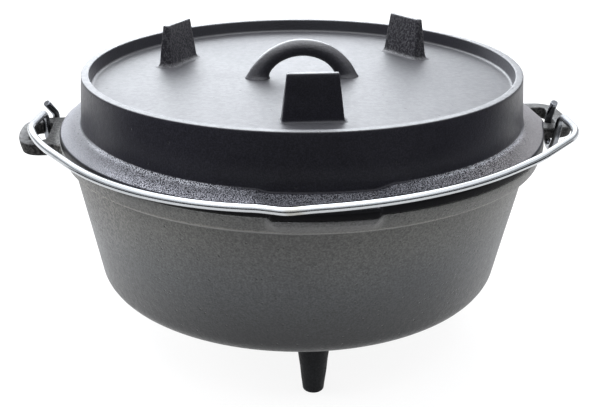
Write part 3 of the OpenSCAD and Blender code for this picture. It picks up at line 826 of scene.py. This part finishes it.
# ------------------------------------------------------------------ bail
def bail_line():
    """Centre line of the wire. Corners are (x, y, z, bend radius) in the hinge frame: x along
    the hinge line, y across it, z up from it."""
    rise, kink, hook_r, hook_x = 14.2, 182.0, 11.0, 175.5
    left_bar, right_bar = (18.25 + 31.0) / 2, (11.0 + 22.5) / 2
    turn = -math.asin((left_bar + right_bar) / 2 / hook_x)
    spot = (-1.7, (left_bar - right_bar) / 2)
    left = [
        (-16.76, -177.53, rise - 0.2, 40),
        (-88.81, -170.0, rise - 1.3, 166),
        (-162.12, -81.02, rise + 1.2, 147),
        (-176.06, -47.2, rise, 44),
        (-hook_x - 0.7, -hook_r, rise - 0.8, 6.5),
        (-hook_x - 0.2, -hook_r, -hook_r, hook_r - 0.2),
        (-hook_x + 0.3, hook_r, -hook_r, hook_r - 0.2),
        (-hook_x + 0.3, hook_r, 5.5, 6),
        (-hook_x - 3.8, hook_r - 6.5, 15.3, 0),
    ]
    right = [
        (13.23, -178.21, rise + 0.2, 40),
        (82.83, -165.59, rise + 1.3, 208),
        (147.87, -98.34, rise + 0.9, 159),
        (183.6, -49.47, rise + 1.0, 45),
        (hook_x + 4.8, -hook_r, rise + 0.8, 6.5),
        (hook_x + 1.4, -hook_r, -hook_r, hook_r - 0.2),
        (hook_x + 1.7, hook_r, -hook_r, hook_r - 0.2),
        (hook_x + 1.7, hook_r, 5.5, 6),
        (hook_x + 2.9, hook_r - 7.4, 19.9, 0),
    ]
    corners = left[::-1] + [(-1.86, -kink, rise, 14)] + right
    pts = [np.array(c[:3], float) for c in corners]
    line = [pts[0]]
    for i in range(1, len(pts) - 1):
        p, r = pts[i], corners[i][3]
        a, b = p - pts[i - 1], pts[i + 1] - p
        a, b = a / np.linalg.norm(a), b / np.linalg.norm(b)
        bend = math.acos(max(-1.0, min(1.0, float(a @ b))))
        trim = r * math.tan(bend / 2)
        up = np.cross(a, b)
        up /= np.linalg.norm(up)
        out = np.cross(a, up)
        centre = p - a * trim - out * r
        n = max(2, int(math.ceil(bend * r / (1.0 if r < 20 else 3.0))))
        for k in range(n + 1):
            q = bend * k / n
            line.append(centre + r * (out * math.cos(q) + a * math.sin(q)))
    line.append(pts[-1])
    dense = [line[0]]
    for p in line[1:]:
        gap = np.linalg.norm(p - dense[-1])
        if gap < 0.25:
            continue
        n = max(1, int(math.ceil(gap / 3.0)))
        s = dense[-1]
        dense += [s + (p - s) * k / n for k in range(1, n + 1)]
    dense = np.array(dense)
    c, d = math.cos(turn), math.sin(turn)
    x = dense[:, 0] * c - dense[:, 1] * d + spot[0]
    y = dense[:, 0] * d + dense[:, 1] * c + spot[1]
    return np.column_stack([x, y, dense[:, 2] + EAR_MID])


def make_bail():
    line = bail_line()
    n_pts, sides, rad = len(line), 24, WIRE / 2
    tang = np.gradient(line, axis=0)
    tang /= np.linalg.norm(tang, axis=1)[:, None]
    tang[0] = (line[1] - line[0]) / np.linalg.norm(line[1] - line[0])
    tang[-1] = (line[-1] - line[-2]) / np.linalg.norm(line[-1] - line[-2])
    nrm = np.cross(tang[0], [0, 1, 0])
    nrm /= np.linalg.norm(nrm)
    run = np.concatenate([[0], np.cumsum(np.linalg.norm(np.diff(line, axis=0), axis=1))])
    rings, uvs = [], []

    def ring_at(p, t, n, r, u):
        m = np.cross(t, n)
        w = 2 * np.pi * np.arange(sides) / sides
        rings.append(p + r * (np.outer(np.cos(w), n) + np.outer(np.sin(w), m)))
        uvs.extend([(u * MM, k / sides) for k in range(sides)])

    for j in range(n_pts):
        if j:
            axis = np.cross(tang[j - 1], tang[j])
            s = np.linalg.norm(axis)
            if s > 1e-9:
                turn = Matrix.Rotation(math.asin(min(1.0, s)), 3, Vector(axis / s))
                nrm = np.array(turn @ Vector(nrm))
            nrm = nrm - tang[j] * (nrm @ tang[j])
            nrm /= np.linalg.norm(nrm)
        if j == 0:  # sheared end with a small burr-free edge
            ring_at(line[0], tang[0], nrm, rad - 0.9, 0)
            ring_at(line[0], tang[0], nrm, rad - 0.35, 0)
            ring_at(line[0] + tang[0] * 0.12, tang[0], nrm, rad - 0.12, 0.2)
            ring_at(line[0] + tang[0] * 0.35, tang[0], nrm, rad, 0.5)
        elif j == n_pts - 1:
            ring_at(line[-1] - tang[-1] * 0.35, tang[-1], nrm, rad, run[-1] - 0.5)
            ring_at(line[-1] - tang[-1] * 0.12, tang[-1], nrm, rad - 0.12, run[-1] - 0.2)
            ring_at(line[-1], tang[-1], nrm, rad - 0.35, run[-1])
            ring_at(line[-1], tang[-1], nrm, rad - 0.9, run[-1])
        else:
            ring_at(line[j], tang[j], nrm, rad, run[j])
    n = sides
    verts = np.concatenate(rings + [line[:1], line[-1:]])
    uvs += [(0.0, 0.5), (run[-1] * MM, 0.5)]
    faces = []
    for i in range(len(rings) - 1):
        for j in range(n):
            a, b = i * n + j, i * n + (j + 1) % n
            faces.append((a, b, b + n, a + n))
    lo, hi, o = len(rings) * n, len(rings) * n + 1, (len(rings) - 1) * n
    for j in range(n):
        faces.append((lo, (j + 1) % n, j))
        faces.append((hi, o + j, o + (j + 1) % n))
    obj = add_mesh("bail", verts, faces, ZINC, uvs)
    obj.data.materials.append(ZINC_CUT)
    for p in obj.data.polygons:
        if any((Vector(p.center) - Vector(line[k] * MM)).length < 2.2 * MM for k in (0, -1)):
            p.material_index = 1
    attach(obj, "bail")
    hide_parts("bail_wire")
    return obj


shell = make_pot_shell()
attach(shell, "pot")
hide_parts("pot_floor", "pot_wall", "pot_rim")
make_ear("ear_left", -1, "pot_ear_left", 29.5, 31.0, 191.0, 173.6, 185.0, 185.0, -18.25, 18.25)
make_ear("ear_right", 1, "pot_ear_right", 22.5, 37.5, 192.0, 172.2, 179.8, 183.0, -11.0, 25.5)
make_leg("leg_front", -90, "pot_leg_front")
make_leg("leg_rear_left", 150, "pot_leg_rear_left")
make_leg("leg_rear_right", 30, "pot_leg_rear_right")
make_lid_shell()
make_foot("foot_front", -90, 3.0, -0.8, "lid_foot_front")
make_foot("foot_rear_left", 150, 1.5, 0.4, "lid_foot_rear_left")
make_foot("foot_rear_right", 30, 1.5, 8.6, "lid_foot_rear_right")
make_loop()
BAIL = make_bail()


# ------------------------------------------------------------------ floor, light, camera
def make_floor():
    m = Nodes("pale_floor")
    soft = m.noise(2.5, 2.0, 0.5)
    m.put(m.bsdf.inputs["Base Color"], m.mix(soft, (0.12, 0.12, 0.12), (0.135, 0.135, 0.135)))
    m.bsdf.inputs["Emission Color"].default_value = (1.0, 1.0, 1.0, 1)
    m.bsdf.inputs["Emission Strength"].default_value = 0.88
    m.bsdf.inputs["Roughness"].default_value = 0.9
    m.bsdf.inputs["Specular IOR Level"].default_value = 0.1
    s = 14000.0
    floor = add_mesh("floor", [(-s, -s, 0), (s, -s, 0), (s, s, 0), (-s, s, 0)], [(0, 1, 2, 3)], m.mat)


def make_surround():
    """White wall far round the set, seen only by the camera in level views."""
    m = Nodes("pale_surround")
    m.put(m.bsdf.inputs["Base Color"], m.mix(m.noise(0.3), (0.10, 0.10, 0.10), (0.11, 0.11, 0.11)))
    m.bsdf.inputs["Emission Color"].default_value = (1.0, 1.0, 1.0, 1)
    m.bsdf.inputs["Emission Strength"].default_value = 0.87
    m.bsdf.inputs["Roughness"].default_value = 0.9
    n, r, top = 96, 13500.0, 14000.0
    ang = 2 * np.pi * np.arange(n) / n
    ring = np.column_stack([r * np.cos(ang), r * np.sin(ang)])
    verts = np.concatenate([np.column_stack([ring, np.full(n, z)]) for z in (-10.0, top)])
    faces = [(k, (k + 1) % n, n + (k + 1) % n, n + k) for k in range(n)]
    wall = add_mesh("surround", verts, faces, m.mat)
    wall.visible_diffuse = False
    wall.visible_glossy = False
    wall.visible_shadow = False
    wall.visible_transmission = False


def make_flag():
    """Dark half ring lying in front of the set, seen only in reflections, as the edge of a pale table."""
    m = Nodes("flag_black")
    m.put(m.bsdf.inputs["Base Color"], m.mix(m.noise(3.0), (0.010, 0.010, 0.012), (0.014, 0.014, 0.016)))
    m.bsdf.inputs["Roughness"].default_value = 1.0
    m.bsdf.inputs["Specular IOR Level"].default_value = 0.0
    near, far, z, n = 470.0, 6000.0, 1.5, 96
    ang = np.radians(np.linspace(-195.0, 15.0, n))
    ring = np.column_stack([np.cos(ang), np.sin(ang)])
    verts = np.concatenate([np.column_stack([ring * r, np.full(n, z)]) for r in (near, far)])
    faces = [(k, k + 1, n + k + 1, n + k) for k in range(n - 1)]
    card = add_mesh("flag", verts, faces, m.mat)
    card.visible_camera = False
    card.visible_diffuse = False
    card.visible_shadow = False
    card.visible_transmission = False


def make_sky():
    """Wide pale ceiling, seen only in reflections, that fills the gaps between the light boxes."""
    m = Nodes("sky_card")
    m.put(m.bsdf.inputs["Base Color"], m.mix(m.noise(0.6), (0.60, 0.60, 0.62), (0.64, 0.64, 0.66)))
    m.bsdf.inputs["Emission Color"].default_value = (0.95, 0.975, 1.0, 1)
    m.bsdf.inputs["Emission Strength"].default_value = 0.95
    s, z = 6500.0, 2800.0
    card = add_mesh("sky", [(-s, -s, z), (s, -s, z), (s, s, z), (-s, s, z)], [(3, 2, 1, 0)], m.mat)
    card.visible_camera = False
    card.visible_diffuse = False
    card.visible_shadow = False
    card.visible_transmission = False


def area(name, at, to, size, power, colour=(1, 1, 1), mirrored=True):
    light = bpy.data.lights.new(name, "AREA")
    light.shape = "RECTANGLE"
    light.size, light.size_y = size
    light.energy = power
    light.color = colour
    obj = bpy.data.objects.new(name, light)
    obj.location = at
    obj.rotation_mode = "QUATERNION"
    obj.rotation_quaternion = (Vector(to) - Vector(at)).to_track_quat("-Z", "Y")
    obj.visible_camera = False
    obj.visible_glossy = mirrored
    scene.collection.objects.link(obj)
    return obj


def lights_only(light, obj, include):
    """Let a light fall on obj alone, or on everything but obj."""
    group = bpy.data.collections.new(light.name + "_reach")
    group.objects.link(obj)
    light.light_linking.receiver_collection = group
    for entry in group.collection_objects:
        entry.light_linking.link_state = "INCLUDE" if include else "EXCLUDE"


def make_light():
    world = bpy.data.worlds.new("studio")
    world.use_nodes = True
    back = world.node_tree.nodes["Background"]
    back.inputs["Color"].default_value = (0.94, 0.965, 1.0, 1)
    back.inputs["Strength"].default_value = 0.50
    scene.world = world
    area("top_box", (0, 0.1, 2.4), (0, 0.1, 0), (3.0, 3.0), 80, (0.95, 0.97, 1.0))
    back_box = area("back_box", (-0.40, 2.2, 1.25), (0, 0, 0.18), (3.0, 1.9), 152, (0.91, 0.95, 1.0))
    wire_box = area("wire_box", (-0.05, 2.2, 1.25), (0, 0, 0.18), (3.9, 1.9), 47, (0.95, 0.975, 1.0))
    lights_only(back_box, BAIL, False)
    lights_only(wire_box, BAIL, True)
    area("left_box", (-2.1, 0.45, 0.8), (0, 0, 0.1), (1.5, 1.3), 50, mirrored=False)
    area("right_box", (2.1, 0.55, 0.8), (0, 0, 0.1), (1.5, 1.3), 30, mirrored=False)


def make_camera():
    cam = bpy.data.cameras.new("camera")
    cam.sensor_fit = "HORIZONTAL"
    cam.sensor_width = 36.0
    cam.lens = 56.18
    cam.clip_start, cam.clip_end = 0.01, 100.0
    obj = bpy.data.objects.new("camera", cam)
    fwd = Vector((0.08675, 0.91734, -0.38855)).normalized()
    right = fwd.cross(Vector((0, 0, 1))).normalized()
    up = right.cross(fwd)
    roll = math.radians(0.217)
    r = right * math.cos(roll) + up * math.sin(roll)
    u = -right * math.sin(roll) + up * math.cos(roll)
    rows = Matrix((r, u, -fwd)).transposed().to_4x4()
    obj.matrix_world = Matrix.Translation(Vector((-0.06012, -0.62439, 0.34749))) @ rows
    scene.collection.objects.link(obj)
    scene.camera = obj


make_floor()
make_surround()
make_flag()
make_sky()
make_light()
make_camera()
scene.view_settings.view_transform = "Standard"
scene.view_settings.look = "None"

bpy.context.view_layer.update()
